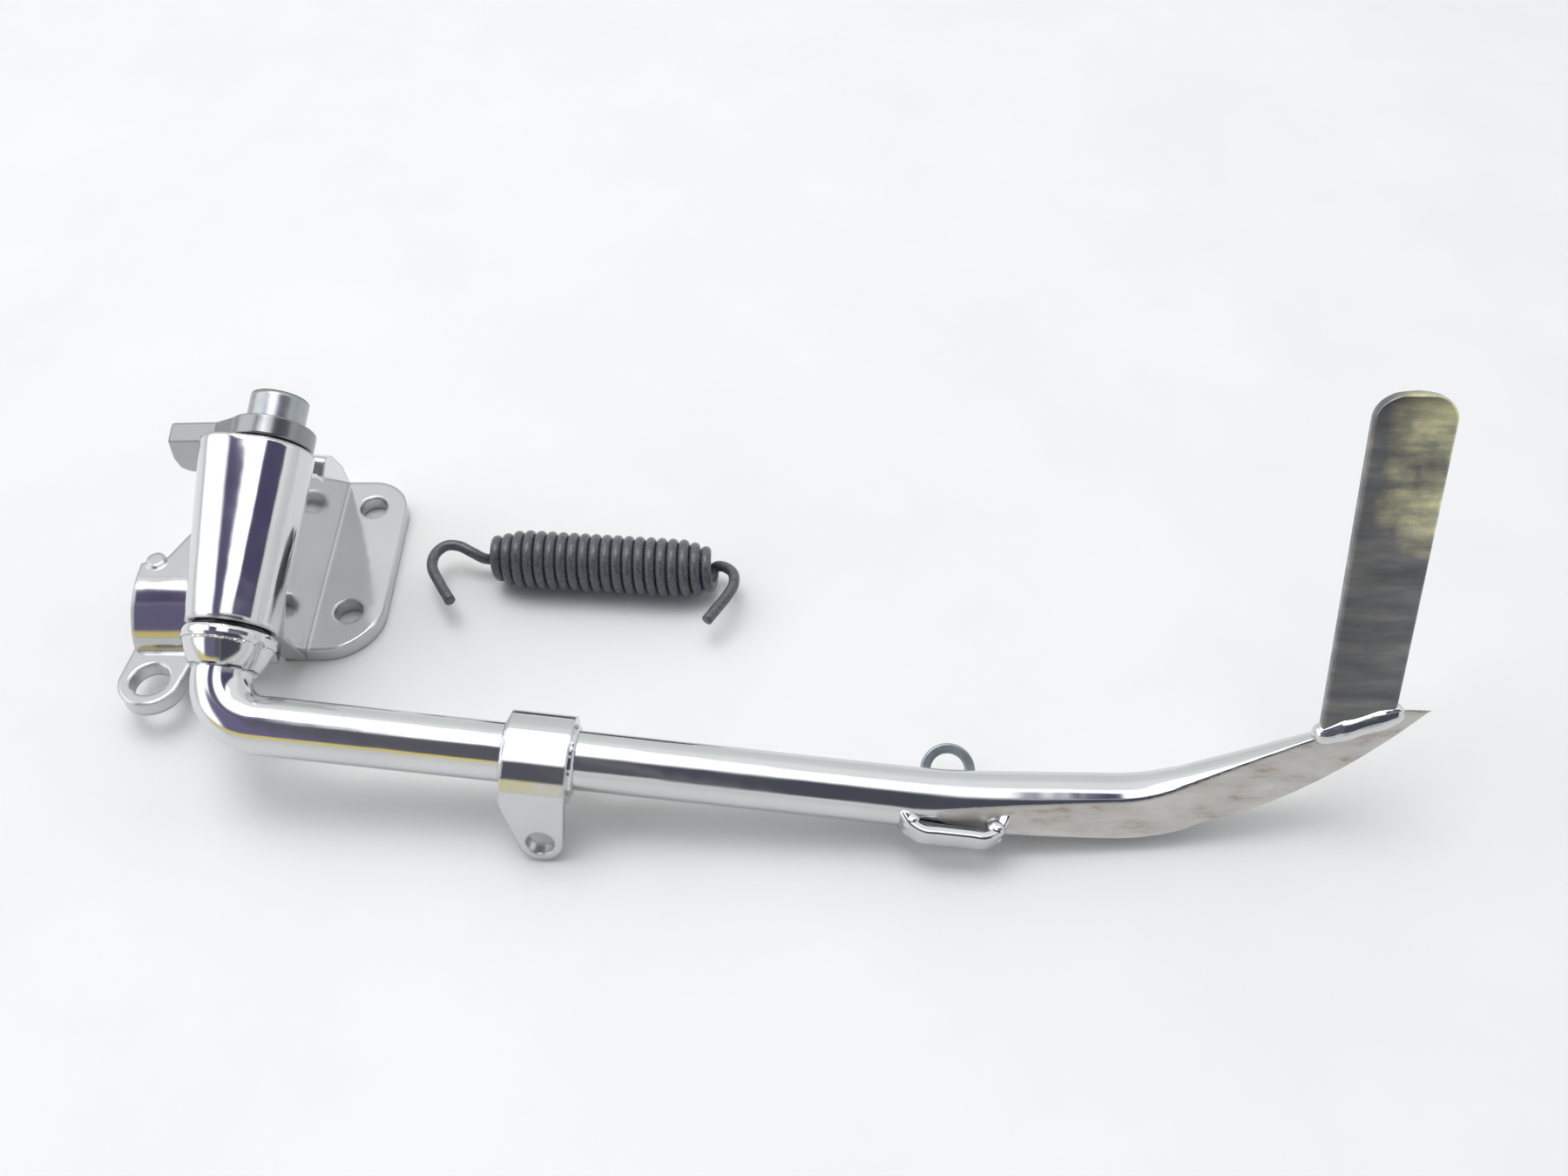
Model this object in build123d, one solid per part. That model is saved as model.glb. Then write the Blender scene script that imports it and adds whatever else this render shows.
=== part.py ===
from build123d import *
import os

# Motorcycle kickstand. Millimetres, +Z up, origin midway between the two bolt holes
# on the underside of the flange. The stand lies as on a bench: flange, foot and
# spring eye rest on Z = 0, and the return spring lies unhooked beside it.

# Base flange and web
FLANGE_LEFT = -12.4
FLANGE_RIGHT = 12.3
FLANGE_FRONT = -43.0
FLANGE_BACK = 38.6
FLANGE_THICKNESS = 6.35
FLANGE_FRONT_CORNER = 20.0
FLANGE_BACK_CORNER = 14.0
BOLT_HOLE_RADIUS = 5.15
BOLT_SPACING = 50.8
WEB_THICKNESS = 8.0
WEB_LEAN = 7.8

# Pivot: the shank axis, and places along it measured from the collar
PIVOT_POINT = Vector(-22.2, -67.9, 42.6)
PIVOT_AXIS = Vector(0.1002, 0.9111, 0.3999)
LEG_SIDE = Vector(0.9940, -0.0742, -0.0801)
ROD_RADIUS = 9.525
BORE_RADIUS = 11.2
BUSHING_INNER = 9.6
BUSHING_LENGTH = 16.0
BARREL_RADIUS = 14.6
BARREL_START = 4.5
BARREL_END = 66.0
BARREL_SPREAD = 8.0
CLEARANCE = 0.3
WASHER_THICKNESS = 0.8
WASHER_RADIUS = 12.0
STOP_THICKNESS = 7.0
STOP_HUB_RADIUS = 13.8
STOP_CENTRE_ARM = 70.6
SHANK_END = 84.5
PIN_RADIUS = 2.4
COLLAR_RADIUS = 15.0
COLLAR_NECK = 9.5

# Leg and foot
ELBOW_DROP = 25.4
ELBOW_RADIUS = 14.5
LEG_KNEE = Vector(209.7, -108.7, 13.0)
FOOT_BEND = Vector(272.7, -108.0, 9.75)
TOE_AXIS = Vector(0.939, 0.092, 0.332)
TOE_LENGTH = 100.0
TOE_FACING = Vector(-0.239, -0.519, 0.820)
KNEE_RADIUS = 300.0
FOOT_RADIUS = 60.0
TOE_FLAT_DEPTH = 7.2
TOE_FLAT_ANGLE = 34.5
FLAT_RUN_OUT = 1.7

# Pieces on the leg
BAND_START = 94.0
BAND_WIDTH = 20.3
BAND_RADIUS = 13.8
BAND_THICKNESS = 4.6
EYE_HOLE_RADIUS = 4.6
EYE_RADIUS = 7.1
EYE_DROP = 17.2
EYE_SIDE = 13.2
TAB_LEAN = 13.7
LOOP_START = 219.0
LOOP_LENGTH = 32.0
LOOP_STAND_OFF = 5.4
LOOP_THICKNESS = 2.4
LOOP_WIDTH = 7.0
RING_CENTRE = Vector(209.0, -95.6, 10.5)
RING_OUTER = 8.9
RING_INNER = 5.6
RING_THICKNESS = 3.0
ARM_FOOT = Vector(333.0, -98.3, 39.6)
ARM_FACING = Vector(-0.120, -0.885, 0.451)
ARM_SIDE = Vector(1.0, 0.0, -0.020)
ARM_WIDTH = 24.2
ARM_LENGTH = 106.5
ARM_THICKNESS = 4.76
ARM_SEAM_ANGLE = 19.8
WELD_RADIUS = 5.2

# Saddle strap over the frame tube, with the spring anchor lug
TUBE_RADIUS = 15.9
TUBE_Y = -29.0
TUBE_Z = 9.0
STRAP_THICKNESS = 6.0
STRAP_LEFT = -66.5
STRAP_RIGHT = -19.0
LUG_CENTRE = (-58.3, -62.2)
LUG_RADIUS = 10.5
LUG_HOLE_RADIUS = 6.5

# Return spring
COIL_RADIUS = 11.1
WIRE_RADIUS = 2.2
COIL_START = Vector(48.0, -2.4, 11.1)
COIL_END = Vector(132.2, -9.0, 11.1)

BASE = (Align.CENTER, Align.CENTER, Align.MIN)
PIVOT = Plane(origin=PIVOT_POINT, x_dir=LEG_SIDE, z_dir=PIVOT_AXIS)
ELBOW = PIVOT_POINT - PIVOT.z_dir * ELBOW_DROP
LEG_DIRECTION = (LEG_KNEE - ELBOW).normalized()
STOP_START = BARREL_END + CLEARANCE + WASHER_THICKNESS
COLLAR_TOP = BARREL_START - CLEARANCE - WASHER_THICKNESS


def ring(outer, inner, start, end):
    """A plain ring about the Z axis from start to end."""
    body = Cylinder(outer, end - start, align=BASE) - Cylinder(inner, end - start, align=BASE)
    return Pos(0, 0, start) * body


def on_pivot(shape):
    return PIVOT.location * shape


def leg_frame(distance):
    """Frame on the leg's axis: X to the front, Y down, Z along the leg."""
    return Plane(origin=ELBOW + LEG_DIRECTION * distance, x_dir=(0, -1, 0), z_dir=LEG_DIRECTION)


def toe_frame():
    return Plane(origin=FOOT_BEND, x_dir=TOE_AXIS, z_dir=TOE_FACING)


def flange():
    left = FLANGE_LEFT - WEB_THICKNESS
    centre = Pos((FLANGE_RIGHT + left) / 2, (FLANGE_BACK + FLANGE_FRONT) / 2)
    outline = centre * Rectangle(FLANGE_RIGHT - left, FLANGE_BACK - FLANGE_FRONT)
    right = outline.vertices().sort_by(Axis.X)[-2:].sort_by(Axis.Y)
    outline = fillet(right[0], FLANGE_FRONT_CORNER)
    right = outline.vertices().sort_by(Axis.X)[-2:].sort_by(Axis.Y)
    outline = fillet(right[1:], FLANGE_BACK_CORNER)
    plate = extrude(outline, amount=FLANGE_THICKNESS)
    for side in (-1, 1):
        plate -= Pos(0, side * BOLT_SPACING / 2, 0) * Cylinder(BOLT_HOLE_RADIUS, 3 * FLANGE_THICKNESS)
    return plate


def web():
    """Leaning wall from the flange up to the barrel, with the stop horn at its far end."""
    wall = Plane(origin=(FLANGE_LEFT, 0, 0), x_dir=(0, 1, 0), z_dir=Vector(1, 0, 0).rotate(Axis.Y, WEB_LEAN))
    side = Polyline(
        (FLANGE_FRONT, 0), (-56, 26), (-62, 38), (-52, 50), (-12, 64), (-2, 53), (5, 43), (11.7, 47.5),
        (18.8, 41.0), (31.0, 23.0), (FLANGE_BACK, 6), (FLANGE_BACK, 0), close=True,
    )
    outline = make_face(side)
    horn = [v for v in outline.vertices() if 8 < v.X < 32]
    outline = fillet(horn, 3.0)
    return extrude(wall * outline, amount=-WEB_THICKNESS)


def barrel_body():
    """Outside of the barrel: round under the collar end, wider to the left at the stop end."""
    low = Plane.XY.offset(BARREL_START) * SlotCenterToCenter(0.02, 2 * BARREL_RADIUS)
    high = Plane.XY.offset(BARREL_END) * Pos(-BARREL_SPREAD / 2, 0) * SlotCenterToCenter(
        BARREL_SPREAD, 2 * BARREL_RADIUS
    )
    return on_pivot(loft([low, high]))


def bore(radius):
    return on_pivot(Pos(0, 0, BARREL_START - 10) * Cylinder(radius, SHANK_END, align=BASE))


def stop_space():
    """Room for the leg stop and its washer beyond the barrel."""
    return on_pivot(Pos(0, 0, BARREL_END) * Cylinder(18.0, 20, align=BASE))


def collar_space():
    return on_pivot(Pos(0, 0, BARREL_START) * Rot(180, 0, 0) * Cylinder(22.0, 40, align=BASE))


def mounting_bracket():
    body = flange() + (web() - collar_space() - stop_space()) + barrel_body()
    return body - bore(BORE_RADIUS)


def frame_strap():
    """Saddle over the frame tube, gusset to the web and anchor lug, one formed plate."""
    outer = TUBE_RADIUS + STRAP_THICKNESS
    section = Plane.YZ * (Pos(TUBE_Y, TUBE_Z) * (Circle(outer) - Circle(TUBE_RADIUS)))
    arch = Pos(STRAP_LEFT, 0, 0) * extrude(section, amount=STRAP_RIGHT - STRAP_LEFT)
    keep = Pos(0, TUBE_Y, TUBE_Z) * Box(200, 60, 60, align=(Align.CENTER, Align.MAX, Align.MIN))
    arch = arch & keep
    top = TUBE_Z + TUBE_RADIUS
    gusset = make_face(
        Polyline(
            (STRAP_LEFT, -30), (STRAP_LEFT, -24), (-58, -21), (-52, -8), (-34, 15), (STRAP_RIGHT, 15),
            (STRAP_RIGHT, -30), close=True,
        )
    )
    gusset = Pos(0, 0, top) * extrude(gusset, amount=STRAP_THICKNESS)
    boss = Pos(-61.5, -23.0, top) * Cylinder(3.2, STRAP_THICKNESS + 0.8, align=BASE)
    root = make_face(Polyline((STRAP_LEFT, -44.9), (STRAP_LEFT, -50), (-45, -50), (-45, -44.9), close=True))
    lug = make_hull((root + Pos(*LUG_CENTRE) * Circle(LUG_RADIUS)).edges())
    lug = Pos(0, 0, TUBE_Z) * extrude(lug, amount=STRAP_THICKNESS)
    lug -= Pos(LUG_CENTRE[0], LUG_CENTRE[1], TUBE_Z) * Cylinder(LUG_HOLE_RADIUS, 20)
    return (arch + gusset + boss + lug) - web() - bore(BARREL_RADIUS + 2)


def stop_pin():
    pin = Pos(0, -6.0, STOP_CENTRE_ARM) * Rot(-90, 0, 0) * Cylinder(PIN_RADIUS, 19.0, align=BASE)
    return on_pivot(pin)


def leg_stop():
    arm = make_face(
        Polyline(
            (-6.6, -12.0), (-19.2, -1.1), (-36.0, 4.5), (-40.1, 21.9), (-40.7, 30.7), (-37.5, 34.5),
            (-31.5, 31.0), (-22.0, 21.0), (-7.0, 11.9), close=True,
        )
    )
    rounded = [v for v in arm.vertices() if v.X < -15]
    arm = fillet(rounded, 2.2)
    plate = extrude(Circle(STOP_HUB_RADIUS) + arm, amount=STOP_THICKNESS)
    plate -= Cylinder(ROD_RADIUS, 40)
    return on_pivot(Pos(0, 0, STOP_START) * plate) - stop_pin()


def thrust_collar():
    rim = COLLAR_RADIUS
    line = Polyline((ROD_RADIUS, COLLAR_TOP), (rim - 1.2, COLLAR_TOP), (rim, COLLAR_TOP - 1.2), (rim, -0.6),
                    (rim - 1.0, -1.8))
    neck = ThreePointArc((rim - 1.0, -1.8), (12.6, -5.4), (10.3, -COLLAR_NECK))
    foot = Polyline((10.3, -COLLAR_NECK), (ROD_RADIUS, -COLLAR_NECK), (ROD_RADIUS, COLLAR_TOP))
    return on_pivot(revolve(Plane.XZ * make_face(line + neck + foot), axis=Axis.Z))


def rod():
    """Round bar: shank, tight elbow, long leg and toe."""
    start = PIVOT_POINT + PIVOT.z_dir * SHANK_END
    toe = FOOT_BEND + TOE_AXIS.normalized() * TOE_LENGTH
    bends = [ELBOW_RADIUS, KNEE_RADIUS, FOOT_RADIUS]
    path = FilletPolyline(start, ELBOW, LEG_KNEE, FOOT_BEND, toe, radius=bends)
    section = Plane(origin=start, z_dir=-PIVOT.z_dir) * Circle(ROD_RADIUS)
    return sweep(section, path=path)


def flat_cut(along, facing, start, end, run_out):
    """Material in front of the foot's flat face, which rises out of the bar towards the elbow."""
    face = Plane(origin=FOOT_BEND + facing * TOE_FLAT_DEPTH, x_dir=along, z_dir=facing)
    block = Pos((start + end) / 2, 0, 0) * Box(end - start, 60, 30, align=BASE)
    return face.location * Rot(0, run_out, 0) * block


def toe_cuts():
    """Ground faces of the foot: a rocker underneath, a bevel on top and the flat face in front."""
    rocker = ThreePointArc((14, -10.4), (62, -3.5), (90, 6.2))
    under = make_face(rocker + Polyline((90, 6.2), (125, 6.2), (125, -25), (14, -25), (14, -10.4)))
    over = make_face(Polyline((78, 9.8), (78, 25), (125, 25), (125, 6.2), (90, 6.2), close=True))
    frame = toe_frame()
    cuts = extrude(frame * (under + over), amount=30, both=True)
    facing = frame.z_dir.rotate(Axis((0, 0, 0), frame.x_dir), TOE_FLAT_ANGLE)
    leg_end = (FOOT_BEND - LEG_KNEE).normalized()
    leg_facing = (facing - leg_end * facing.dot(leg_end)).normalized()
    cuts += flat_cut(frame.x_dir, facing, -14, TOE_LENGTH + 20, 0)
    return cuts + flat_cut(leg_end, leg_facing, -110, 8, FLAT_RUN_OUT)


def leg_rod():
    return rod() - toe_cuts() - stop_pin()


def spring_lug_band(solid_rod):
    collar = ring(BAND_RADIUS, ROD_RADIUS, 0, BAND_WIDTH)
    shelf = make_face(
        Polyline((4.72, -12.97), (10.3, -11.2), (14.6, -8.2), (17.2, -4.2), (18.3, -1.0), (13.9, 0.2),
                 (3.0, -10.0), close=True)
    )
    shelf = extrude(shelf, amount=BAND_WIDTH)
    root = Pos(1, BAND_WIDTH / 2) * Rectangle(2, BAND_WIDTH)
    outline = make_hull((root + Pos(EYE_DROP, EYE_SIDE) * Circle(EYE_RADIUS)).edges())
    tab = extrude(Plane.YZ * outline, amount=-BAND_THICKNESS)
    tab -= Pos(0, EYE_DROP, EYE_SIDE) * Rot(0, 90, 0) * Cylinder(EYE_HOLE_RADIUS, 40)
    tab = Pos(18.3, -1.0, 0) * Rot(0, 0, -TAB_LEAN) * tab
    return leg_frame(BAND_START).location * (collar + shelf + tab) - solid_rod


def band_weld(distance, flip):
    bead = Cone(BAND_RADIUS - 1.0, ROD_RADIUS + 0.4, 2.4, align=BASE) - Cylinder(ROD_RADIUS, 10)
    return leg_frame(distance).location * Rot(180 if flip else 0, 0, 0) * bead


def loop_frame():
    outward = Vector(0, -1, -0.02)
    return Plane(origin=ELBOW + LEG_DIRECTION * LOOP_START, x_dir=LEG_DIRECTION,
                 z_dir=LEG_DIRECTION.cross(outward))


def bumper_loop(solid_rod):
    top = ROD_RADIUS + LOOP_STAND_OFF
    under = top - LOOP_THICKNESS
    end = LOOP_LENGTH
    outer_line = [(0, 6), (0, 9), (5.5, top), (end - 5.5, top), (end, 9), (end, 6)]
    inner_line = [(3, 4), (3, 8), (7, under), (end - 7, under), (end - 3, 8), (end - 3, 4)]
    outside = make_face(Polyline(*outer_line, close=True))
    inside = make_face(Polyline(*inner_line, close=True))
    strap = extrude(outside - inside, amount=LOOP_WIDTH / 2, both=True)
    return loop_frame().location * strap - solid_rod


def loop_weld(offset, solid_rod, loop):
    bead = fillet(Cylinder(1.9, LOOP_WIDTH + 1.5).edges(), 1.2)
    return loop_frame().location * Pos(offset, ROD_RADIUS - 1.0, 0) * bead - solid_rod - loop


def eye_ring(solid_rod):
    plane = Plane(origin=RING_CENTRE, x_dir=(1, 0, 0), z_dir=(0, -0.5, 0.866))
    return plane.location * ring(RING_OUTER, RING_INNER, -RING_THICKNESS / 2, RING_THICKNESS / 2) - solid_rod


def ring_weld(solid_rod, eye):
    bead = Pos(*(RING_CENTRE + Vector(8.6, -3.2, -0.5))) * Sphere(3.2)
    return bead - solid_rod - eye


def arm_frame():
    return Plane(origin=ARM_FOOT, x_dir=ARM_SIDE, z_dir=ARM_FACING)


def kick_arm(solid_rod):
    half = ARM_WIDTH / 2
    end = Polyline((-half, ARM_LENGTH - 8), (-half, -4), (half, -4), (half, ARM_LENGTH - 8))
    crown = ThreePointArc((-half, ARM_LENGTH - 8), (0, ARM_LENGTH), (half, ARM_LENGTH - 8))
    bar = extrude(make_face(end + crown), amount=ARM_THICKNESS / 2, both=True)
    return arm_frame().location * bar - solid_rod


def kick_arm_weld(solid_rod, arm):
    bead = fillet(Cylinder(WELD_RADIUS, ARM_WIDTH + 6.0).edges(), WELD_RADIUS - 1.0)
    along_seam = Rot(0, 0, ARM_SEAM_ANGLE) * Rot(0, 90, 0)
    return arm_frame().location * Pos(0, 1.5, 0) * along_seam * bead - solid_rod - arm


def return_spring():
    """Close-coiled body with a hook at each end."""
    axis = (COIL_END - COIL_START).normalized()
    length = (COIL_END - COIL_START).length
    coil_plane = Plane(origin=COIL_START, z_dir=axis)
    body = coil_plane.location * ring(COIL_RADIUS, COIL_RADIUS - 2 * WIRE_RADIUS, 0, length)
    height = COIL_START.Z
    left = [(51, 4.5), (40, 4.0), (27.5, 1.0), (28.0, -11.0), (36.8, -25.5)]
    right = [(130, -15.5), (138.5, -15.0), (137.5, -21.0), (128.6, -34.0)]
    for route, radii in ((left, [8, 6, 8]), (right, [4, 6])):
        path = FilletPolyline(*[(x, y, height) for x, y in route], radius=radii)
        wire = Plane(origin=path @ 0, z_dir=path % 0) * Circle(WIRE_RADIUS)
        body += sweep(wire, path=path)
    return body


def build():
    solid_rod = rod()
    band = spring_lug_band(solid_rod)
    loop = bumper_loop(solid_rod)
    eye = eye_ring(solid_rod)
    arm = kick_arm(solid_rod)
    bushing = ring(BORE_RADIUS, BUSHING_INNER, 0, BUSHING_LENGTH)
    washer = ring(WASHER_RADIUS, ROD_RADIUS, 0, WASHER_THICKNESS)
    return {
        "mounting_bracket": mounting_bracket(),
        "frame_strap": frame_strap(),
        "lower_bushing": on_pivot(Pos(0, 0, BARREL_START) * bushing),
        "upper_bushing": on_pivot(Pos(0, 0, BARREL_END - BUSHING_LENGTH) * bushing),
        "leg_rod": leg_rod(),
        "thrust_collar": thrust_collar(),
        "lower_thrust_washer": on_pivot(Pos(0, 0, COLLAR_TOP) * washer),
        "upper_thrust_washer": on_pivot(Pos(0, 0, STOP_START - WASHER_THICKNESS) * washer),
        "leg_stop": leg_stop(),
        "stop_roll_pin": stop_pin(),
        "spring_lug_band": band,
        "band_weld_inner": band_weld(BAND_START, True),
        "band_weld_outer": band_weld(BAND_START + BAND_WIDTH, False),
        "bumper_loop": loop,
        "loop_weld_inner": loop_weld(-0.6, solid_rod, loop),
        "loop_weld_outer": loop_weld(LOOP_LENGTH + 0.6, solid_rod, loop),
        "eye_ring": eye,
        "eye_ring_weld": ring_weld(solid_rod, eye),
        "kick_arm": arm,
        "kick_arm_weld": kick_arm_weld(solid_rod, arm),
        "return_spring": return_spring(),
    }


os.makedirs("parts", exist_ok=True)
for name, shape in build().items():
    export_step(shape, f"parts/{name}.step")
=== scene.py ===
import math

import bmesh
import bpy
from mathutils import Matrix, Vector, noise


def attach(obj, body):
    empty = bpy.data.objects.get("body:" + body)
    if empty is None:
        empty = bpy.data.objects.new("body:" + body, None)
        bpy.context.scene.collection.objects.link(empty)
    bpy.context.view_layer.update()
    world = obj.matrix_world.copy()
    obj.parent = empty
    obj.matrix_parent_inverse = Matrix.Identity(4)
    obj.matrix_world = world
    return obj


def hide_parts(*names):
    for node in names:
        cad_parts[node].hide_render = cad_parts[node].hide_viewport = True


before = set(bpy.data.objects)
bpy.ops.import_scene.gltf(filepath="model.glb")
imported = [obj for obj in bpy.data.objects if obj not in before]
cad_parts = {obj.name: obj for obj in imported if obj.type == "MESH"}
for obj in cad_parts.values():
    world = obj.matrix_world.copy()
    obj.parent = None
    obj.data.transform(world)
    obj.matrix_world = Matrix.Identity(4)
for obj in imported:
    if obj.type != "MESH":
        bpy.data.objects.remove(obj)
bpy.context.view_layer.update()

# Motorcycle kickstand. Lengths below are in millimetres of the row frame and become metres at the mesh.
MM = 0.001
UP = Vector((0, 0, 1))
FRONT = Vector((0, -1, 0))

# Shank, leg and foot
PIVOT_POINT = Vector((-22.2, -67.9, 42.6))
PIVOT_AXIS = Vector((0.1002, 0.9111, 0.3999)).normalized()
ROD_RADIUS = 9.525
SHANK_END = 84.5
ELBOW = PIVOT_POINT - PIVOT_AXIS * 25.4
ELBOW_RADIUS = 14.5
LEG_KNEE = Vector((209.7, -108.7, 13.0))
KNEE_RADIUS = 300.0
FOOT_BEND = Vector((272.7, -108.0, 9.75))
FOOT_RADIUS = 60.0
TOE_AXIS = Vector((0.939, 0.092, 0.332)).normalized()
TOE_TIP = 90.0
TOE_FLAT_DEPTH = 7.2
TOE_FADE = (-20, 8)
TOE_FADE_LIFT = 4
TOE_FLAT_ANGLE = math.radians(34.5)
FLAT_RUN_OUT = math.radians(1.7)
LEG_DIRECTION = (LEG_KNEE - ELBOW).normalized()
LEG_SIDES = 128
EDGE_SHARPNESS = 40
FLAT_FROM = 150
FORGED_RISE = (175, 262)
FORGED_FADE = (-14, 40)
FORGED_LEAN = Vector((0, -0.96, -0.28))
ROCKER_FROM = 12
ROCKER_PLACES = ((14, -10.4), (62, -3.5), (TOE_TIP, 6.2))
TOE_MIN_THICKNESS = 0.25

# Pieces on the leg
BAND_START = 94.0
BAND_WIDTH = 20.3
LOOP_START = 219.0
LOOP_LENGTH = 32.0
LOOP_TOP = ROD_RADIUS + 5.3
LOOP_WIDTH = 7.6
LOOP_THICKNESS = 3.3
LOOP_OUTWARD = Vector((0, -1, -0.02)).normalized()
LOOP_ACROSS = LEG_DIRECTION.cross(LOOP_OUTWARD).normalized()
RING_CENTRE = Vector((209.0, -95.6, 10.5))
ARM_FOOT = Vector((333.0, -98.3, 39.6))
ARM_FACING = Vector((-0.120, -0.885, 0.451)).normalized()
ARM_SIDE = Vector((1.0, 0.0, -0.020))
ARM_UP = ARM_FACING.cross(ARM_SIDE).normalized()
ARM_LENGTH = 106.5
ARM_HALF_WIDTH = 11.1
ARM_FLARE = 1.0
ARM_CROWN = 8.6
ARM_THICKNESS = 4.76
ARM_SEAM_ANGLE = math.radians(19.8)

# Return spring
COIL_START = Vector((48.0, -3.4, 10.7))
COIL_END = Vector((132.2, -10.0, 10.7))
COIL_OUTER_RADIUS = 10.7
COIL_TURNS = 20.03
COIL_STEPS = 40
COIL_FIRST_ANGLE = math.radians(-50)
WIRE_RADIUS = 1.98
HOOK_HEIGHT = 11.1
LEFT_HOOK = ((37.0, -24.6, 0), (32.2, -16.6, 0), (28.3, -9.0, 0), (28.3, -2.6, 0), (31.6, 1.6, 0),
             (36.4, 1.9, -0.4), (41.4, -0.2, -1.6), (46.0, -1.4, -3.6))
RIGHT_HOOK = ((134.2, -6.6, -2.4), (137.4, -11.0, -1.0), (137.6, -17.2, 0), (135.0, -23.0, 0),
              (131.8, -28.2, 0), (128.6, -33.4, 0))

# Barrel, measured along the pivot axis
BARREL_START = 4.5
BARREL_END = 66.0
BARREL_RADIUS = 14.64
BARREL_BORE = 11.25
BARREL_SPREAD = 8.0
BARREL_LIP = 1.1
BARREL_CROWN = 0.15
BARREL_SIDE = Vector((0.9940, -0.0742, -0.0801))


def unit(v):
    return v.normalized()


def across(v, axis):
    """The part of v square to axis, as a unit vector."""
    return (v - axis * v.dot(axis)).normalized()


def mesh_object(name, points, faces, body, replaced=()):
    mesh = bpy.data.meshes.new(name)
    mesh.from_pydata([p * MM for p in points], [], faces)
    mesh.validate()
    mesh.shade_smooth()
    piece = bpy.data.objects.new(name, mesh)
    bpy.context.scene.collection.objects.link(piece)
    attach(piece, body)
    if replaced:
        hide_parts(*replaced)
    return piece


def skin(name, rings, body, replaced=(), closed_ends=True):
    """A surface through rings of points, each ring with the same number of points."""
    count = len(rings[0])
    points = [p for r in rings for p in r]
    faces = []
    for i in range(len(rings) - 1):
        for j in range(count):
            k = (j + 1) % count
            faces.append((i * count + j, i * count + k, (i + 1) * count + k, (i + 1) * count + j))
    if closed_ends:
        for base, turn in ((0, -1), ((len(rings) - 1) * count, 1)):
            centre = sum((points[base + j] for j in range(count)), Vector()) / count
            points.append(centre)
            for j in range(count):
                pair = (base + j, base + (j + 1) % count)
                faces.append((*pair[::turn], len(points) - 1))
    return mesh_object(name, points, faces, body, replaced)


def smooth_path(points, steps):
    """Catmull-Rom curve through the points."""
    padded = [points[0] * 2 - points[1], *points, points[-1] * 2 - points[-2]]
    path = []
    for a, b, c, d in zip(padded, padded[1:], padded[2:], padded[3:]):
        for i in range(steps):
            t = i / steps
            path.append(0.5 * (2 * b + (c - a) * t + (2 * a - 5 * b + 4 * c - d) * t * t
                               + (3 * b - a - 3 * c + d) * t ** 3))
    return path + [points[-1]]


def path_frames(path, first):
    """Tangent and two square directions at every point, carried along without twist."""
    frames = []
    side = first
    for i, p in enumerate(path):
        tangent = unit(path[min(i + 1, len(path) - 1)] - path[max(i - 1, 0)])
        side = across(side, tangent)
        frames.append((p, tangent, side, tangent.cross(side)))
    return frames


def tube(name, path, radius, body, replaced, sides):
    """Round wire along a path; radius is a number or a function of the place from 0 to 1."""
    rings = []
    last = len(path) - 1
    for i, (p, _, side, other) in enumerate(path_frames(path, UP)):
        r = radius(i / last) if callable(radius) else radius
        rings.append([p + (side * math.cos(a) + other * math.sin(a)) * r
                      for a in (2 * math.pi * j / sides for j in range(sides))])
    return skin(name, rings, body, replaced)


# Leg rod: the CAD bar with the foot forged wider, a ground flat face, a worn rocker and a bevelled tip

def filleted_route():
    """Stations (point, tangent) along the rod's axis with arcs at the three bends."""
    corners = [PIVOT_POINT + PIVOT_AXIS * SHANK_END, ELBOW, LEG_KNEE, FOOT_BEND,
               FOOT_BEND + TOE_AXIS * TOE_TIP]
    radii = [ELBOW_RADIUS, KNEE_RADIUS, FOOT_RADIUS]
    stations = []
    here = corners[0]
    for i, radius in enumerate(radii, 1):
        before = unit(corners[i] - corners[i - 1])
        after = unit(corners[i + 1] - corners[i])
        turn = before.angle(after)
        reach = radius * math.tan(turn / 2)
        begin = corners[i] - before * reach
        stations += straight(here, begin)
        axis = unit(before.cross(after))
        centre = begin + axis.cross(before) * radius
        arc_steps = max(12, int(math.degrees(turn) / 2))
        for k in range(arc_steps):
            spin = Matrix.Rotation(turn * k / arc_steps, 3, axis)
            stations.append((centre + spin @ (begin - centre), spin @ before))
        here = corners[i] + after * reach
    return stations + straight(here, corners[-1]) + [(corners[-1], TOE_AXIS)]


def straight(a, b):
    count = max(2, int((b - a).length / 1.5))
    return [(a.lerp(b, k / count), unit(b - a)) for k in range(count)]


TOE_FACING = across(Vector((-0.239, -0.519, 0.820)), TOE_AXIS)
TOE_UP = TOE_FACING.cross(TOE_AXIS)
FLAT_NORMAL = TOE_FACING * math.cos(TOE_FLAT_ANGLE) - TOE_UP * math.sin(TOE_FLAT_ANGLE)
FOOT_DIRECTION = unit(FOOT_BEND - LEG_KNEE)


def foot_planes(point):
    """Half-spaces (point on the plane, outward normal) that trim the bar near this station."""
    along = (point - FOOT_BEND).dot(TOE_AXIS)
    flat_point = FOOT_BEND + FLAT_NORMAL * TOE_FLAT_DEPTH
    leg_normal = across(FLAT_NORMAL, FOOT_DIRECTION)
    leg_normal = unit(leg_normal * math.cos(FLAT_RUN_OUT) + FOOT_DIRECTION * math.sin(FLAT_RUN_OUT))
    planes = [(FOOT_BEND + leg_normal * TOE_FLAT_DEPTH, leg_normal)]
    if along > TOE_FADE[0]:
        lift = TOE_FADE_LIFT * (1 - ease(along, *TOE_FADE))
        planes.append((flat_point + FLAT_NORMAL * lift, FLAT_NORMAL))
    return planes


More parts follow.
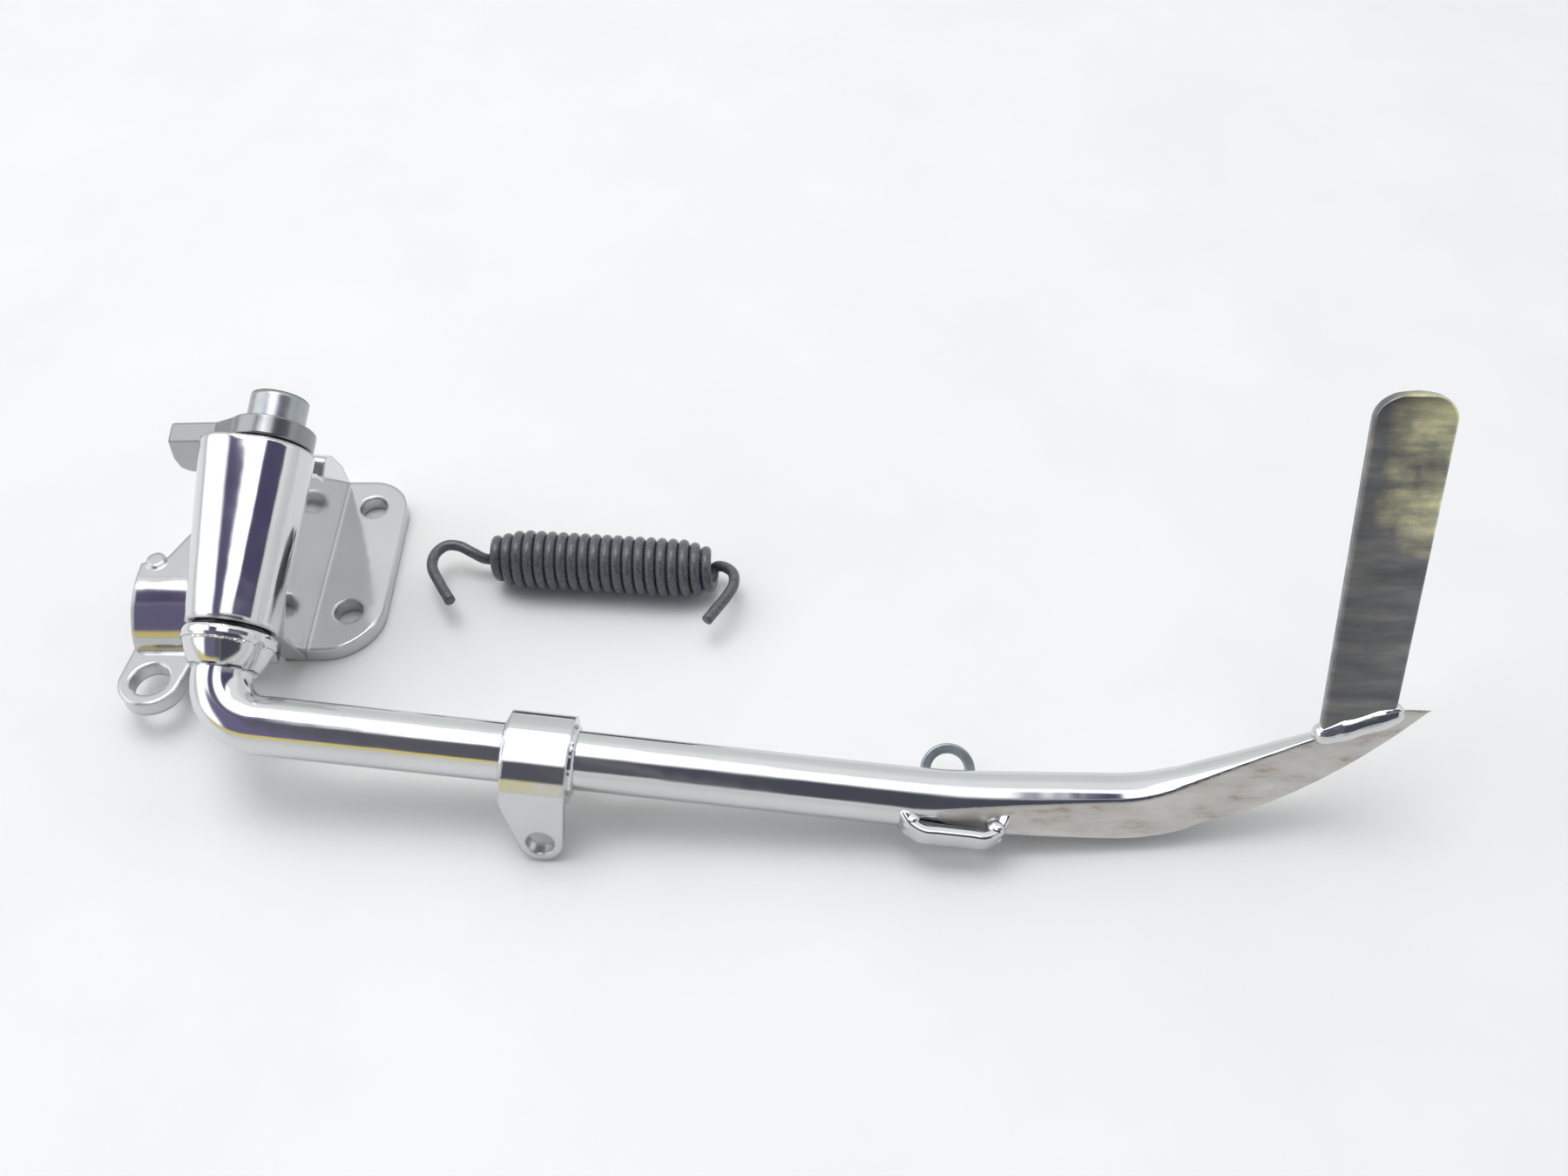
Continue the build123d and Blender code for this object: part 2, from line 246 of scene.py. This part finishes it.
def rocker_height(t):
    """Underside of the toe above its axis: a circle through three places."""
    (ax, ay), (bx, by), (cx, cy) = ROCKER_PLACES
    bx, by, cx, cy = bx - ax, by - ay, cx - ax, cy - ay
    double = 2 * (bx * cy - by * cx)
    b_square = bx * bx + by * by
    c_square = cx * cx + cy * cy
    centre_x = (cy * b_square - by * c_square) / double
    centre_y = (bx * c_square - cx * b_square) / double
    r = math.hypot(centre_x, centre_y)
    return ay + centre_y - math.sqrt(max(r * r - (t - ax - centre_x) ** 2, 0))


def ease(value, low, high):
    t = min(max((value - low) / (high - low), 0), 1)
    return t * t * (3 - 2 * t)


def toe_planes(point, toe):
    """Bottom and top half-spaces of the toe at this station, and the place halfway between them."""
    high = min(ROD_RADIUS, 9.8 - (toe - 78) * 0.3)
    low = min(max(rocker_height(toe), -ROD_RADIUS), high - TOE_MIN_THICKNESS)
    planes = [(point + TOE_UP * low, -TOE_UP), (point + TOE_UP * high, TOE_UP)]
    return planes, point + TOE_UP * (low + high) / 2


def bar_reach(away, ray, forged):
    """Distance along ray to the round bar, swollen where the foot was forged."""
    b = away.dot(ray)
    lean = ray.dot(FORGED_LEAN)
    reach = -b + math.sqrt(max(b * b - away.length_squared + ROD_RADIUS ** 2, 0.01))
    return reach + 1.5 * forged * max(lean, 0) ** 2 + 0.5 * forged * max(-lean, 0) ** 2


def trimmed(middle, ray, reach, planes):
    """Reach cut back by the planes with softened edges, and how far a plane rules there (0 to 1)."""
    bar = total = reach ** -EDGE_SHARPNESS
    for place, normal in planes:
        facing = ray.dot(normal)
        if facing > 0.02:
            gap = (place - middle).dot(normal)
            total += (gap / facing) ** -EDGE_SHARPNESS if gap > 0 else 1e9
    return total ** (-1 / EDGE_SHARPNESS), min(max((total - bar) / total * 2 - 0.5, 0), 1)


def leg_rod():
    rings = []
    worn = []
    side = UP
    for point, tangent in filleted_route():
        side = across(side, tangent)
        other = tangent.cross(side)
        toe = (point - FOOT_BEND).dot(TOE_AXIS)
        forged = ease(point.x, *FORGED_RISE) * (1 - ease(toe, *FORGED_FADE))
        planes = foot_planes(point) if point.x > FLAT_FROM else []
        middle = point
        if toe > ROCKER_FROM:
            ends, middle = toe_planes(point, toe)
            planes += ends
        ring = []
        for j in range(LEG_SIDES):
            a = 2 * math.pi * j / LEG_SIDES
            ray = side * math.cos(a) + other * math.sin(a)
            reach, shade = trimmed(middle, ray, bar_reach(middle - point, ray, forged), planes)
            ring.append(middle + ray * reach)
            worn.append(shade)
        rings.append(ring)
    piece = skin("leg_rod_forged", rings, "leg", ["leg_rod"])
    mask = piece.data.attributes.new("worn", "FLOAT", "POINT")
    worn += [0.0] * (len(piece.data.vertices) - len(worn))
    mask.data.foreach_set("value", worn)
    return piece


# Return spring: one wire, hook to hook

def coil_points():
    """Centre of the wire along the close coil, narrower at both ends."""
    axis = unit(COIL_END - COIL_START)
    level = across(Vector((0, 1, 0)), axis)
    length = (COIL_END - COIL_START).length - 2 * WIRE_RADIUS
    mean = COIL_OUTER_RADIUS - WIRE_RADIUS
    steps = int(COIL_TURNS * COIL_STEPS)
    coil = []
    for i in range(steps + 1):
        t = i / steps
        r = mean * (0.66 + 0.34 * ease(min(t, 1 - t) * COIL_TURNS, -0.6, 3.2))
        a = COIL_FIRST_ANGLE + 2 * math.pi * COIL_TURNS * t
        spoke = level * math.cos(a) + UP * math.sin(a)
        coil.append(COIL_START + axis * (WIRE_RADIUS + length * t) + spoke * r)
    return coil


def spring_wire():
    coil = coil_points()
    left, right = ([Vector((x, y, HOOK_HEIGHT + z)) for x, y, z in hook] for hook in (LEFT_HOOK, RIGHT_HOOK))
    lead = smooth_path([*left, coil[0], coil[6], coil[12]], 8)
    tail = smooth_path([coil[-13], coil[-7], coil[-1], *right], 8)
    path = lead[:-8] + coil[6:-7] + tail[8:]
    return tube("return_spring_coils", path, WIRE_RADIUS, "spring", ["return_spring"], sides=20)


# Kick arm: flat bar with rounded edges, slightly wider towards its crown

def arm_point(u, v, w):
    return ARM_FOOT + ARM_SIDE * u + ARM_UP * v + ARM_FACING * w


def rounded_box(half_width, half_height, radius):
    """Points round a rectangle with rounded corners."""
    radius = min(radius, half_width * 0.98, half_height * 0.98)
    outline = []
    for cx, cy, first in ((1, 1, 0), (-1, 1, 90), (-1, -1, 180), (1, -1, 270)):
        for k in range(7):
            a = math.radians(first + 15 * k)
            outline.append((cx * (half_width - radius) + radius * math.cos(a),
                            cy * (half_height - radius) + radius * math.sin(a)))
    return outline


def kick_arm():
    rings = []
    rows = [-4 + k * 2.0 for k in range(51)] + [99 + k * 0.25 for k in range(30)] + [ARM_LENGTH - 0.02]
    for v in rows:
        half = ARM_HALF_WIDTH + ARM_FLARE * v / 98
        if v > ARM_LENGTH - ARM_CROWN:
            rise = (v - ARM_LENGTH + ARM_CROWN) / ARM_CROWN
            half *= max(1 - rise ** 2.25, 0.0004) ** (1 / 2.25)
        edge = 1.0 - ease(v, ARM_LENGTH - 1.0, ARM_LENGTH) * 0.35
        section = rounded_box(half, ARM_THICKNESS / 2 * edge, 1.1)
        slant = math.tan(ARM_SEAM_ANGLE) * (1 - ease(v, -4, 20))
        rings.append([arm_point(x - 0.4, v + (x + ARM_HALF_WIDTH) * slant, y) for x, y in section])
    return skin("kick_arm_bar", rings, "leg", ["kick_arm"])


# Bumper loop: bent strap with soft corners, its feet run into the leg

def loop_strap():
    origin = ELBOW + LEG_DIRECTION * LOOP_START
    top = LOOP_TOP - LOOP_THICKNESS / 2
    route = [(-0.6, 5.0), (0.6, 8.0), (2.6, 11.0), (6.4, top), (11, top), (LOOP_LENGTH / 2, top),
             (LOOP_LENGTH - 11, top), (LOOP_LENGTH - 6.4, top), (LOOP_LENGTH - 2.6, 11.0),
             (LOOP_LENGTH - 0.6, 8.0), (LOOP_LENGTH + 0.6, 5.0)]
    path = smooth_path([origin + LEG_DIRECTION * s + LOOP_OUTWARD * h for s, h in route], 6)
    rings = []
    for p, _, side, other in path_frames(path, LOOP_ACROSS):
        height = abs((p - origin).dot(LOOP_OUTWARD))
        swell = 1 + 0.28 * (1 - ease(height, 7.5, 12.5))
        rings.append([p + side * x + other * y for x, y in
                      rounded_box(LOOP_WIDTH / 2 * swell, LOOP_THICKNESS / 2 * swell, 1.15 * swell)])
    return skin("bumper_loop_strap", rings, "leg", ["bumper_loop"])


# Weld beads with ripples

def ring_bead(name, distance, node, seed):
    """Bead round the leg where the band ends."""
    origin = ELBOW + LEG_DIRECTION * distance
    front = across(FRONT, LEG_DIRECTION)
    down = LEG_DIRECTION.cross(front)
    path = [origin + (front * math.cos(a) + down * math.sin(a)) * (ROD_RADIUS + 0.7)
            for a in (2 * math.pi * k / 180 for k in range(180))]
    rings = []
    for k, p in enumerate(path):
        a = 2 * math.pi * k / 180
        out = unit(p - origin)
        size = 1.35 + 0.05 * math.sin(26 * a + seed) + 0.35 * noise.noise(p * 0.12 + Vector((seed, 0, 0)))
        rings.append([p + (out * math.cos(b) + LEG_DIRECTION * math.sin(b)) * size
                      for b in (2 * math.pi * j / 14 for j in range(14))])
    rings.append(rings[0])
    return skin(name, rings, "leg", [node], closed_ends=False)


def bead(name, start, end, radius, node, ripples, seed):
    """A weld run with rounded ends, laid in overlapping ripples."""
    count = 90
    path = [start.lerp(end, k / count) for k in range(count + 1)]

    def size(t):
        cap = math.sqrt(max(1 - (2 * abs(t - 0.5)) ** 6, 0.0004))
        wave = 0.035 * math.sin(2 * math.pi * ripples * t + seed)
        return radius * cap * (0.93 + wave + 0.07 * noise.noise(Vector((t * 5 + seed, seed, 0))))

    return tube(name, path, size, "leg", [node], sides=32)


def beads():
    made = [ring_bead("band_bead_inner", BAND_START - 0.2, "band_weld_inner", 0.4),
            ring_bead("band_bead_outer", BAND_START + BAND_WIDTH + 0.2, "band_weld_outer", 2.1)]
    seam = ARM_SIDE * math.cos(ARM_SEAM_ANGLE) + ARM_UP * math.sin(ARM_SEAM_ANGLE)
    middle = ARM_FOOT + ARM_UP * 1.0
    made.append(bead("kick_arm_bead", middle - seam * 14.4, middle + seam * 14.4, 4.5,
                     "kick_arm_weld", 3, 1.0))
    for name, offset, node, seed in (("loop_bead_inner", 2.6, "loop_weld_inner", 3.0),
                                     ("loop_bead_outer", LOOP_LENGTH - 2.6, "loop_weld_outer", 5.0)):
        place = ELBOW + LEG_DIRECTION * (LOOP_START + offset) + LOOP_OUTWARD * (ROD_RADIUS + 0.2)
        made.append(bead(name, place - LOOP_ACROSS * 4.4, place + LOOP_ACROSS * 4.4, 3.1, node, 2, seed))
    place = RING_CENTRE + Vector((8.2, -3.6, -0.6))
    made.append(bead("ring_bead", place - Vector((2.6, 0, 1.4)), place + Vector((2.4, -0.4, 1.0)), 2.4,
                     "eye_ring_weld", 2, 6.0))
    return made


# Barrel skin: the CAD barrel's outside drawn finely, with its flat sides crowned by up to 0.6 mm

def barrel_profile():
    """Places along the barrel and their radii, with rounded lips at both ends."""
    def lip(angle):
        return BARREL_LIP * (1 - math.sin(angle)), BARREL_RADIUS - BARREL_LIP * (1 - math.cos(angle))

    rise = [lip(math.radians(90 - 15 * k)) for k in range(7)]
    fall = [lip(math.radians(15 * k)) for k in range(1, 7)]
    straight_part = BARREL_END - BARREL_START - 2 * BARREL_LIP
    profile = [(BARREL_START, BARREL_BORE)]
    profile += [(BARREL_START + s, r) for s, r in rise]
    profile += [(BARREL_START + BARREL_LIP + straight_part * k / 60, BARREL_RADIUS) for k in range(1, 61)]
    profile += [(BARREL_END - s, r) for s, r in fall]
    return profile + [(BARREL_END, BARREL_BORE)]


def barrel_skin():
    side = across(BARREL_SIDE, PIVOT_AXIS)
    other = PIVOT_AXIS.cross(side)
    rings = []
    for s, r in barrel_profile():
        shift = BARREL_SPREAD * (s - BARREL_START) / (BARREL_END - BARREL_START)
        shift *= ease(r, BARREL_BORE, BARREL_RADIUS - BARREL_LIP)
        centre = PIVOT_POINT + PIVOT_AXIS * s - side * shift / 2
        ring = []
        for j in range(180):
            c, d = math.cos(math.radians(2 * j)), math.sin(math.radians(2 * j))
            root = math.hypot(c, BARREL_CROWN)
            reach, turn = r + shift / 2 * root, -shift / 2 * c * d / root
            ring.append(centre + side * (reach * c - turn * d) + other * (reach * d + turn * c))
        rings.append(ring)
    return skin("barrel_skin", rings, "bracket", closed_ends=False)


# CAD pieces carried over with rounded edges

def polished(node, body, width):
    """A copy of a CAD node with merged corners and rounded edges."""
    work = bmesh.new()
    work.from_mesh(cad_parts[node].data)
    bmesh.ops.remove_doubles(work, verts=work.verts, dist=2e-6)
    bmesh.ops.dissolve_limit(work, angle_limit=math.radians(0.4), verts=work.verts, edges=work.edges)
    points = [v.co / MM for v in work.verts]
    faces = [tuple(v.index for v in f.verts) for f in work.faces]
    work.free()
    piece = mesh_object(node + "_polished", points, faces, body, [node])
    soften = piece.modifiers.new("rounded edges", "BEVEL")
    soften.limit_method = "ANGLE"
    soften.angle_limit = math.radians(32)
    soften.width = width * MM
    soften.segments = 3
    soften.use_clamp_overlap = False
    soften.harden_normals = True
    weight = piece.modifiers.new("flat faces", "WEIGHTED_NORMAL")
    weight.keep_sharp = True
    return piece


# Materials

def nodes_of(name):
    made = bpy.data.materials.new(name)
    made.use_nodes = True
    return made, made.node_tree.nodes, made.node_tree.links, made.node_tree.nodes["Principled BSDF"]


def place_nodes(nodes, links, scale=(1, 1, 1), turn=(0, 0, 0)):
    """Coordinates in millimetres of the row frame, stretched by scale."""
    coordinate = nodes.new("ShaderNodeTexCoord")
    mapping = nodes.new("ShaderNodeMapping")
    mapping.inputs["Scale"].default_value = [1000 * s for s in scale]
    mapping.inputs["Rotation"].default_value = turn
    links.new(coordinate.outputs["Object"], mapping.inputs["Vector"])
    return mapping.outputs["Vector"]


def noise_node(nodes, links, vector, scale, detail=4, rough=0.55):
    n = nodes.new("ShaderNodeTexNoise")
    n.inputs["Scale"].default_value = scale
    n.inputs["Detail"].default_value = detail
    n.inputs["Roughness"].default_value = rough
    links.new(vector, n.inputs["Vector"])
    return n.outputs["Fac"]


def ramp(nodes, links, value, *stops):
    """Colour ramp; each stop is (position, colour)."""
    r = nodes.new("ShaderNodeValToRGB")
    while len(r.color_ramp.elements) < len(stops):
        r.color_ramp.elements.new(0.5)
    for element, (position, colour) in zip(r.color_ramp.elements, stops):
        element.position = position
        element.color = (*colour, 1) if len(colour) == 3 else (colour[0],) * 3 + (1,)
    links.new(value, r.inputs["Fac"])
    return r.outputs["Color"]


def mix(nodes, links, factor, a, b):
    m = nodes.new("ShaderNodeMix")
    m.data_type = "RGBA"
    for value, socket in ((factor, m.inputs[0]), (a, m.inputs[6]), (b, m.inputs[7])):
        links.new(value, socket)
    return m.outputs[2]


def fade_up(nodes, links, value, low, high):
    """0 below low, 1 above high."""
    m = nodes.new("ShaderNodeMapRange")
    m.interpolation_type = "SMOOTHSTEP"
    m.inputs["From Min"].default_value = low
    m.inputs["From Max"].default_value = high
    links.new(value, m.inputs["Value"])
    return m.outputs["Result"]


def calculate(nodes, links, operation, *values):
    m = nodes.new("ShaderNodeMath")
    m.operation = operation
    for value, socket in zip(values, m.inputs):
        links.new(value, socket)
    return m.outputs[0]


def bump(nodes, links, height, strength, distance, normal=None):
    b = nodes.new("ShaderNodeBump")
    b.inputs["Strength"].default_value = strength
    b.inputs["Distance"].default_value = distance * MM
    links.new(height, b.inputs["Height"])
    if normal is not None:
        links.new(normal, b.inputs["Normal"])
    return b.outputs["Normal"]


def chrome(name, bright=0.70, wear=1.0, stretch=(1, 1, 1), haze_floor=0.085, corner=0.0):
    """Bright plate: mirror with faint haze patches, hairline scratches and slight waviness."""
    made, nodes, links, shader = nodes_of(name)
    vector = place_nodes(nodes, links)
    haze = noise_node(nodes, links, vector, 0.05, 5)
    links.new(ramp(nodes, links, haze, (0.35, (haze_floor,)), (0.72, (haze_floor + 0.08 * wear,))),
              shader.inputs["Roughness"])
    tint = noise_node(nodes, links, vector, 0.03, 3)
    links.new(ramp(nodes, links, tint, (0.3, (bright, bright * 1.01, bright * 1.03)),
                   (0.75, (bright * 0.93, bright * 0.94, bright * 0.95))), shader.inputs["Base Color"])
    shader.inputs["Metallic"].default_value = 1.0
    waves = noise_node(nodes, links, vector, 0.045, 2)
    scratches = noise_node(nodes, links, place_nodes(nodes, links, stretch, (0.3, 0.2, 0.5)), 1.6, 3)
    soft = None
    if corner:
        rounding = nodes.new("ShaderNodeBevel")
        rounding.samples = 6
        rounding.inputs["Radius"].default_value = corner * MM
        soft = rounding.outputs["Normal"]
    fine = bump(nodes, links, scratches, 0.05 * wear, 0.05, soft)
    links.new(bump(nodes, links, waves, 0.22, 1.2, fine), shader.inputs["Normal"])
    return made


def leg_chrome():
    """Bright plate along the leg, worn to bare steel on the foot's ground faces and dull on the shank."""
    made = chrome("chrome_leg_worn", 0.70, 1.0, (0.25, 1.5, 1.5))
    nodes, links = made.node_tree.nodes, made.node_tree.links
    shader = nodes["Principled BSDF"]
    worn = nodes.new("ShaderNodeAttribute")
    worn.attribute_name = "worn"
    vector = place_nodes(nodes, links)
    edge = noise_node(nodes, links, vector, 0.35, 5, 0.6)
    blend = calculate(nodes, links, "ADD", worn.outputs["Fac"], edge)
    mask = ramp(nodes, links, blend, (0.93, (0.0,)), (1.06, (1.0,)))
    streaks = noise_node(nodes, links, place_nodes(nodes, links, (0.3, 1, 1), (0, 0.1, 0.05)), 0.22, 6, 0.65)
    steel = ramp(nodes, links, streaks, (0.28, (0.42, 0.35, 0.29)), (0.42, (0.60, 0.57, 0.54)),
                 (0.65, (0.68, 0.66, 0.64)))
    for socket, worn_value in (("Base Color", steel),
                               ("Roughness", ramp(nodes, links, streaks, (0.3, (0.50,)), (0.7, (0.30,))))):
        plated = shader.inputs[socket].links[0].from_socket
        links.new(mix(nodes, links, mask, plated, worn_value), shader.inputs[socket])
    split = nodes.new("ShaderNodeSeparateXYZ")
    links.new(vector, split.inputs[0])
    shank = fade_up(nodes, links, split.outputs["Y"], -30, -15)
    dull = ramp(nodes, links, edge, (0.3, (0.36, 0.38, 0.39)), (0.7, (0.42, 0.44, 0.45)))
    for socket, plain in (("Base Color", dull),
                          ("Roughness", ramp(nodes, links, edge, (0.3, (0.24,)), (0.7, (0.32,))))):
        plated = shader.inputs[socket].links[0].from_socket
        links.new(mix(nodes, links, shank, plated, plain), shader.inputs[socket])
    return made


def arm_steel():
    """Bare grey steel with slanted scratches and a painted warm reflection in its upper corner towards the
    crown.
    """
    made, nodes, links, shader = nodes_of("kick_arm_steel")
    vector = place_nodes(nodes, links)
    slanted = place_nodes(nodes, links, (0.22, 1.0, 1.0), (0.2, -0.35, 0.12))
    strokes = noise_node(nodes, links, slanted, 0.16, 6, 0.62)
    patches = noise_node(nodes, links, vector, 0.07, 4)
    grey = ramp(nodes, links, strokes, (0.32, (0.15, 0.15, 0.165)), (0.5, (0.205, 0.205, 0.21)),
                (0.68, (0.29, 0.285, 0.28)))
    split = nodes.new("ShaderNodeSeparateXYZ")
    links.new(vector, split.inputs[0])
    # Painted warm reflection: the upper corner of the arm towards its crown is coloured warm and light in
    # patchy streaks, as a warm highlight mirrored there.
    corner = calculate(nodes, links, "MULTIPLY", fade_up(nodes, links, split.outputs["Z"], 78, 108),
                       fade_up(nodes, links, split.outputs["X"], 316, 337))
    painted_warm_reflection = calculate(nodes, links, "MULTIPLY", corner, patches)
    tint = ramp(nodes, links, strokes, (0.36, (0.42, 0.41, 0.30)), (0.60, (0.95, 0.90, 0.55)))
    links.new(mix(nodes, links, ramp(nodes, links, painted_warm_reflection, (0.25, (0.0,)), (0.55, (0.95,))), grey, tint),
              shader.inputs["Base Color"])
    links.new(ramp(nodes, links, strokes, (0.3, (0.42,)), (0.7, (0.26,))), shader.inputs["Roughness"])
    shader.inputs["Metallic"].default_value = 1.0
    scratch = noise_node(nodes, links, slanted, 3.0, 4)
    links.new(bump(nodes, links, scratch, 0.25, 0.08), shader.inputs["Normal"])
    return made


def coated(name, dark, light, metallic, rough, scale=0.4, depth=0.05):
    """A plain finish with mottling, for the spring, zinc, bronze and dark steel."""
    made, nodes, links, shader = nodes_of(name)
    vector = place_nodes(nodes, links)
    mottle = noise_node(nodes, links, vector, scale, 5, 0.6)
    links.new(ramp(nodes, links, mottle, (0.3, dark), (0.7, light)), shader.inputs["Base Color"])
    links.new(ramp(nodes, links, mottle, (0.3, (rough[0],)), (0.7, (rough[1],))), shader.inputs["Roughness"])
    shader.inputs["Metallic"].default_value = metallic
    links.new(bump(nodes, links, mottle, 0.3, depth), shader.inputs["Normal"])
    return made


def paint(piece, finish):
    piece.data.materials.clear()
    piece.data.materials.append(finish)


# Build

bright = chrome("chrome_bracket_plate", 0.60, 0.8, corner=2.0)
band_finish = chrome("chrome_band_plate", 0.66, 0.9, corner=1.6)
barrel_finish = chrome("chrome_barrel_plate", 0.70, 0.6)
satin = chrome("chrome_stop_plate", 0.30, 1.0, haze_floor=0.20)
leg_finish = leg_chrome()
plain_leg = chrome("chrome_leg_plate", 0.70, 0.9, (0.25, 1.5, 1.5))
steel = arm_steel()
spring_black = coated("spring_black", (0.074, 0.074, 0.088), (0.148, 0.148, 0.168), 0.2,
                      (0.24, 0.38), 0.9, 0.06)
zinc = coated("zinc_plate", (0.26, 0.30, 0.32), (0.38, 0.42, 0.44), 0.9, (0.30, 0.42), 0.3, 0.05)
dark_steel = coated("oiled_steel", (0.05, 0.05, 0.055), (0.12, 0.12, 0.12), 0.9, (0.3, 0.5), 0.5, 0.04)
bronze = coated("sintered_bronze", (0.32, 0.21, 0.10), (0.50, 0.36, 0.20), 0.9, (0.4, 0.55), 0.8, 0.04)

for node, body, width, finish in (
    ("leg_stop", "leg", 0.7, satin),
    ("thrust_collar", "leg", 0.9, barrel_finish),
    ("eye_ring", "leg", 0.8, zinc),
):
    paint(polished(node, body, width), finish)
for node, finish in (
    ("mounting_bracket", bright),
    ("frame_strap", bright),
    ("spring_lug_band", band_finish),
    ("lower_bushing", bronze),
    ("upper_bushing", bronze),
    ("lower_thrust_washer", dark_steel),
    ("upper_thrust_washer", dark_steel),
    ("stop_roll_pin", dark_steel),
):
    paint(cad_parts[node], finish)
paint(barrel_skin(), barrel_finish)
paint(leg_rod(), leg_finish)
paint(kick_arm(), steel)
paint(loop_strap(), plain_leg)
for piece in beads():
    paint(piece, zinc if piece.name == "ring_bead" else plain_leg)
paint(spring_wire(), spring_black)


# Floor, light and camera

def floor():
    bpy.ops.mesh.primitive_plane_add(size=8, location=(0.15, 0, 0))
    ground = bpy.context.object
    ground.name = "floor"
    made, nodes, links, shader = nodes_of("pale_floor")
    vector = place_nodes(nodes, links)
    cloud = noise_node(nodes, links, vector, 0.012, 4)
    links.new(ramp(nodes, links, cloud, (0.3, (0.83, 0.83, 0.82)), (0.7, (0.87, 0.87, 0.86))),
              shader.inputs["Base Color"])
    shader.inputs["Roughness"].default_value = 0.45
    paint(ground, made)


def band_mask(nodes, links, value, low, high, soft):
    """1 between low and high, fading over soft on both sides."""
    return calculate(nodes, links, "MULTIPLY", fade_up(nodes, links, value, low - soft, low + soft),
                     fade_up(nodes, links, value, high + soft, high - soft))


# Bright and dark panels of the room, seen from the stand: sideways angle (+ to the right), fore-and-aft angle
# from straight up (+ to the front), edge softness, radiance. Later panels cover earlier ones.
ROOM = (
    ((-70, 70), (-50, 0), 8, (1.0, 1.02, 1.01)),
    ((-60, -15), (18, 82), 2, (0.19, 0.17, 0.29)),
    ((-17, -4), (16, 72), 2, (0.13, 0.13, 0.15)),
    ((-75, -44), (-60, 70), 4, (1.7, 1.7, 1.75)),
    ((-46, -31), (-30, 16), 2, (1.7, 1.7, 1.75)),
    ((-29, -12), (-10, 18), 2, (0.12, 0.10, 0.20)),
    ((-10, 30), (-19, 13), 2, (1.9, 1.95, 2.0)),
    ((-5, 42), (18, 77), 4, (0.085, 0.09, 0.115)),
    ((15, 60), (-8, 15), 2, (0.095, 0.08, 0.16)),
    ((-60, -11), (70, 82), 2, (0.85, 0.72, 0.26)),
    ((8, 24), (85, 93), 2, (0.26, 0.23, 0.15)),
)


def room():
    world = bpy.data.worlds.new("room")
    bpy.context.scene.world = world
    world.use_nodes = True
    nodes, links = world.node_tree.nodes, world.node_tree.links
    background = nodes["Background"]
    direction = nodes.new("ShaderNodeTexCoord").outputs["Generated"]
    split = nodes.new("ShaderNodeSeparateXYZ")
    links.new(direction, split.inputs[0])
    sideways = calculate(nodes, links, "ARCSINE", split.outputs["X"])
    forward = calculate(nodes, links, "ARCTAN2", split.outputs["Y"], split.outputs["Z"])
    colour = ramp(nodes, links, split.outputs["Z"], (0.0, (0.74, 0.77, 0.76)), (0.6, (0.84, 0.87, 0.86)),
                  (1.0, (0.92, 0.95, 0.94)))
    for (left, right), (back, front), soft, shade in ROOM:
        mask = calculate(nodes, links, "MULTIPLY",
                         band_mask(nodes, links, sideways, *map(math.radians, (left, right, soft))),
                         band_mask(nodes, links, forward, *map(math.radians, (-front, -back, soft))))
        m = nodes.new("ShaderNodeMix")
        m.data_type = "RGBA"
        links.new(mask, m.inputs[0])
        links.new(colour, m.inputs[6])
        m.inputs[7].default_value = (*shade, 1)
        colour = m.outputs[2]
    links.new(colour, background.inputs["Color"])
    background.inputs["Strength"].default_value = 1.0


def lamp(name, location, target, size, power):
    data = bpy.data.lights.new(name, "AREA")
    data.shape = "DISK"
    data.size = size
    data.energy = power
    piece = bpy.data.objects.new(name, data)
    piece.location = location
    piece.rotation_euler = (Vector(target) - Vector(location)).to_track_quat("-Z", "Y").to_euler()
    bpy.context.scene.collection.objects.link(piece)


def camera():
    data = bpy.data.cameras.new("camera")
    data.lens = 34
    data.sensor_width = 36
    data.clip_start = 0.01
    piece = bpy.data.objects.new("camera", data)
    piece.location = (0.1558, -0.3598, 0.4178)
    piece.rotation_euler = (math.radians(40), 0, 0)
    bpy.context.scene.collection.objects.link(piece)
    bpy.context.scene.camera = piece


floor()
room()
lamp("overhead", (-0.2, 0.35, 1.5), (0.10, 0.0, 0.0), 1.0, 7.5)
camera()
bpy.context.scene.view_settings.view_transform = "Standard"
